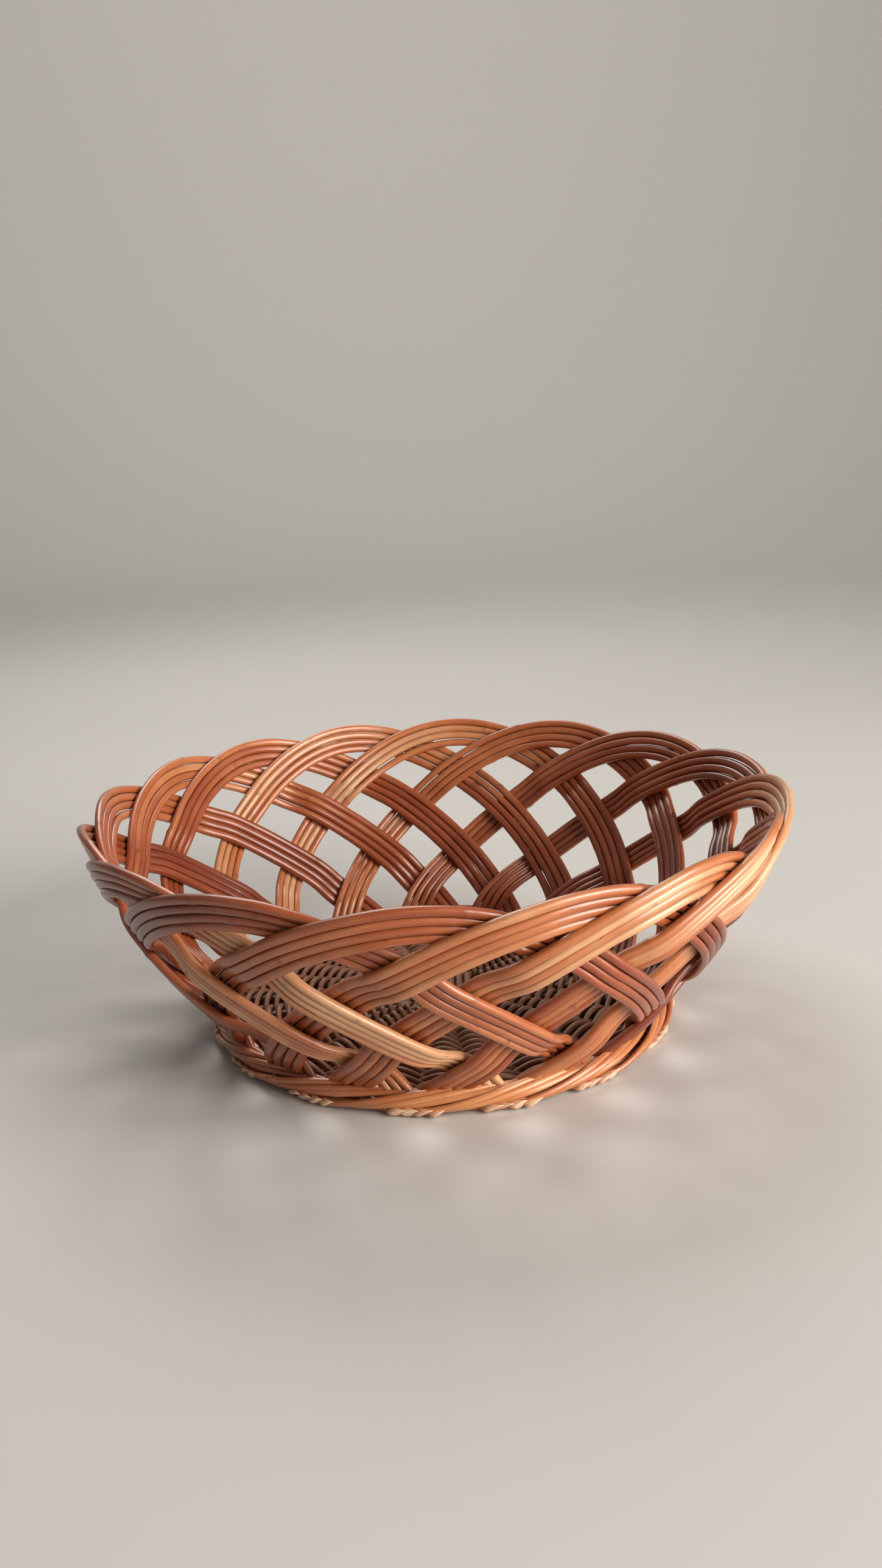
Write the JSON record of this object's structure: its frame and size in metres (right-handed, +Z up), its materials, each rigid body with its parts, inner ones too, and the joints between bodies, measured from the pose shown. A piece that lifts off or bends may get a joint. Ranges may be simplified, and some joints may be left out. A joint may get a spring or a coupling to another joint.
{
  "type": "fruit basket",
  "caption": "Round openwork fruit basket of woven willow rods, with arched bundles crossing as a scalloped wall, a rope-like foot border and a twined base.",
  "frame": {"origin": "on the table, under the middle of the basket", "axes": "+Z up; +X to the right and +Y away from a viewer in front, seen from where the first bundle's crown is at the left"},
  "size_m": [0.3194, 0.3197, 0.1082],
  "materials": {
    "side_willow": "varnished, satin",
    "border_willow": "varnished, satin",
    "base_willow": "dull varnish"
  },
  "bodies": {
    "root": {"bundle_01": "side_willow", "bundle_02": "side_willow", "bundle_03": "side_willow", "bundle_04": "side_willow", "bundle_05": "side_willow", "bundle_06": "side_willow", "bundle_07": "side_willow", "bundle_08": "side_willow", "bundle_09": "side_willow", "bundle_10": "side_willow", "bundle_11": "side_willow", "bundle_12": "side_willow", "bundle_13": "side_willow", "bundle_14": "side_willow", "bundle_15": "side_willow", "bundle_16": "side_willow", "foot_strand_01": "border_willow", "foot_strand_02": "border_willow", "foot_strand_03": "border_willow", "foot_strand_04": "border_willow", "foot_strand_05": "border_willow", "foot_strand_06": "border_willow", "foot_strand_07": "border_willow", "foot_strand_08": "border_willow", "foot_strand_09": "border_willow", "foot_strand_10": "border_willow", "foot_strand_11": "border_willow", "foot_strand_12": "border_willow", "foot_strand_13": "border_willow", "foot_strand_14": "border_willow", "foot_strand_15": "border_willow", "foot_strand_16": "border_willow", "base_sticks_lengthwise": "base_willow", "base_sticks_crosswise": "base_willow", "base_weavers_upper": "base_willow", "base_weavers_lower": "base_willow"}
  },
  "joints": []
}
